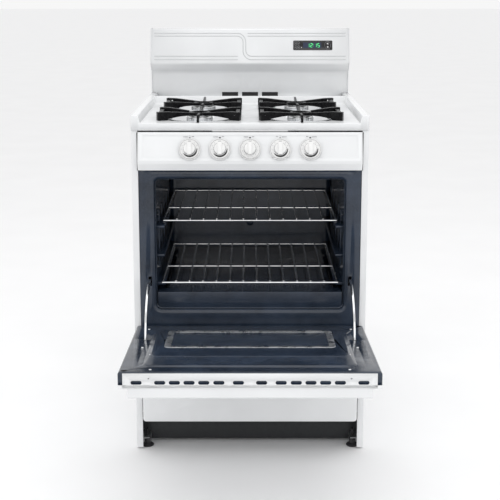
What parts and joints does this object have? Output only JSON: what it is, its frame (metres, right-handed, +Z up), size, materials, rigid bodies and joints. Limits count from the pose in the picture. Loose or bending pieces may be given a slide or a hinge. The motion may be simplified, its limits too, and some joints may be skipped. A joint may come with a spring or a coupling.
{
  "type": "freestanding gas range",
  "caption": "Freestanding gas range with open gas burners, lift-off grates, a drop-down oven door, sliding racks and a storage drawer below.",
  "frame": {"origin": "on the floor, under the middle of the bounding box as it stands with the door open", "axes": "+Z up, +X to the right as seen from the front, -Y towards the person cooking"},
  "size_m": [0.612, 1.1046, 1.103],
  "materials": {
    "white_enamel": "glossy white porcelain enamel on sheet steel",
    "dark_enamel": "glossy blue-black porcelain enamel with fine pale specks",
    "black_paint": "semi-matt black paint on sheet steel",
    "galvanised_steel": "bare galvanised and plated steel",
    "black_plastic": "matt black moulded plastic",
    "chrome_wire": "bright chrome-plated wire",
    "chrome_sheet": "bright chrome-plated steel",
    "aluminium": "cast aluminium, satin",
    "cast_iron": "black matt enamel on cast iron",
    "brass": "machined brass and brass-coloured pipe",
    "knob_plastic": "glossy white moulded plastic",
    "glass": "tinted clear glass"
  },
  "bodies": {
    "body": {"left_side_panel": "white_enamel", "right_side_panel": "white_enamel", "cooktop": "white_enamel", "control_panel": "white_enamel", "backguard": "white_enamel", "oven_face_frame": "dark_enamel", "oven_liner": "dark_enamel", "oven_floor_panel": "dark_enamel", "toe_kick": "black_paint", "back_panel": "galvanised_steel", "base_frame": "galvanised_steel", "oven_burner": "galvanised_steel", "oven_thermostat": "galvanised_steel", "levelling_leg_front_left": "black_plastic", "levelling_leg_front_right": "black_plastic", "levelling_leg_rear_left": "black_plastic", "levelling_leg_rear_right": "black_plastic", "clock_module": "black_plastic", "drip_bowl_front_left": "chrome_sheet", "drip_bowl_front_right": "chrome_sheet", "drip_bowl_rear_left": "chrome_sheet", "drip_bowl_rear_right": "chrome_sheet", "hinge_bracket_left": "chrome_sheet", "hinge_bracket_right": "chrome_sheet", "burner_head_front_left": "aluminium", "burner_head_front_right": "aluminium", "burner_head_rear_left": "aluminium", "burner_head_rear_right": "aluminium", "burner_cap_front_left": "aluminium", "burner_cap_front_right": "aluminium", "burner_cap_rear_left": "aluminium", "burner_cap_rear_right": "aluminium", "gas_manifold": "brass", "clock_lens": "glass"},
    "door": {"door_outer_panel": "white_enamel", "door_liner": "dark_enamel", "window_frame": "galvanised_steel", "window_glass_inner": "glass", "window_glass_outer": "glass", "door_handle": "white_enamel", "hinge_arm_left": "chrome_sheet", "hinge_arm_right": "chrome_sheet"},
    "drawer": {"drawer_front": "white_enamel", "drawer_box": "galvanised_steel"},
    "upper_rack": {"oven_rack_upper": "chrome_wire"},
    "lower_rack": {"oven_rack_lower": "chrome_wire"},
    "stem_1": {"valve_stem_1": "galvanised_steel"},
    "dial_1": {"knob_1": "knob_plastic"},
    "stem_2": {"valve_stem_2": "galvanised_steel"},
    "dial_2": {"knob_2": "knob_plastic"},
    "stem_3": {"valve_stem_3": "galvanised_steel"},
    "dial_3": {"knob_3": "knob_plastic"},
    "stem_4": {"valve_stem_4": "galvanised_steel"},
    "dial_4": {"knob_4": "knob_plastic"},
    "stem_5": {"valve_stem_5": "galvanised_steel"},
    "dial_5": {"knob_5": "knob_plastic"},
    "grate_front_left_body": {"grate_front_left": "cast_iron"},
    "grate_front_right_body": {"grate_front_right": "cast_iron"},
    "grate_rear_left_body": {"grate_rear_left": "cast_iron"},
    "grate_rear_right_body": {"grate_rear_right": "cast_iron"}
  },
  "joints": [
    {"name": "door_hinge", "type": "hinge", "parent": "body", "child": "door", "pos_m": [0, -0.12267, 0.333], "axis": [-1, 0, 0], "range_deg": [0, 86.35]},
    {"name": "upper_rack_slide", "type": "slide", "parent": "body", "child": "upper_rack", "axis": [0, 1, 0], "range_m": [-0.33, 0]},
    {"name": "lower_rack_slide", "type": "slide", "parent": "body", "child": "lower_rack", "axis": [0, 1, 0], "range_m": [-0.33, 0]},
    {"name": "drawer_slide", "type": "slide", "parent": "body", "child": "drawer", "axis": [0, -1, 0], "range_m": [0, 0.4]},
    {"name": "knob_push_1", "type": "slide", "parent": "body", "child": "stem_1", "axis": [0, 0.9589, -0.2836], "range_m": [0, 0.003], "stiffness_N_per_m": 300},
    {"name": "knob_turn_1", "type": "hinge", "parent": "stem_1", "child": "dial_1", "pos_m": [-0.154, -0.11839, 0.82], "axis": [0, -0.9589, 0.2836], "range_deg": [0, 210]},
    {"name": "knob_push_2", "type": "slide", "parent": "body", "child": "stem_2", "axis": [0, 0.9589, -0.2836], "range_m": [0, 0.003], "stiffness_N_per_m": 300},
    {"name": "knob_turn_2", "type": "hinge", "parent": "stem_2", "child": "dial_2", "pos_m": [-0.077, -0.11839, 0.82], "axis": [0, -0.9589, 0.2836], "range_deg": [0, 210]},
    {"name": "knob_push_3", "type": "slide", "parent": "body", "child": "stem_3", "axis": [0, 0.9589, -0.2836], "range_m": [0, 0.003], "stiffness_N_per_m": 300},
    {"name": "knob_turn_3", "type": "hinge", "parent": "stem_3", "child": "dial_3", "pos_m": [0, -0.11839, 0.82], "axis": [0, -0.9589, 0.2836], "range_deg": [0, 300]},
    {"name": "knob_push_4", "type": "slide", "parent": "body", "child": "stem_4", "axis": [0, 0.9589, -0.2836], "range_m": [0, 0.003], "stiffness_N_per_m": 300},
    {"name": "knob_turn_4", "type": "hinge", "parent": "stem_4", "child": "dial_4", "pos_m": [0.077, -0.11839, 0.82], "axis": [0, -0.9589, 0.2836], "range_deg": [0, 210]},
    {"name": "knob_push_5", "type": "slide", "parent": "body", "child": "stem_5", "axis": [0, 0.9589, -0.2836], "range_m": [0, 0.003], "stiffness_N_per_m": 300},
    {"name": "knob_turn_5", "type": "hinge", "parent": "stem_5", "child": "dial_5", "pos_m": [0.154, -0.11839, 0.82], "axis": [0, -0.9589, 0.2836], "range_deg": [0, 210]},
    {"name": "grate_lift_front_left", "type": "slide", "parent": "body", "child": "grate_front_left_body", "axis": [0, 0, 1], "range_m": [0, 0.05]},
    {"name": "grate_lift_front_right", "type": "slide", "parent": "body", "child": "grate_front_right_body", "axis": [0, 0, 1], "range_m": [0, 0.05]},
    {"name": "grate_lift_rear_left", "type": "slide", "parent": "body", "child": "grate_rear_left_body", "axis": [0, 0, 1], "range_m": [0, 0.05]},
    {"name": "grate_lift_rear_right", "type": "slide", "parent": "body", "child": "grate_rear_right_body", "axis": [0, 0, 1], "range_m": [0, 0.05]}
  ]
}
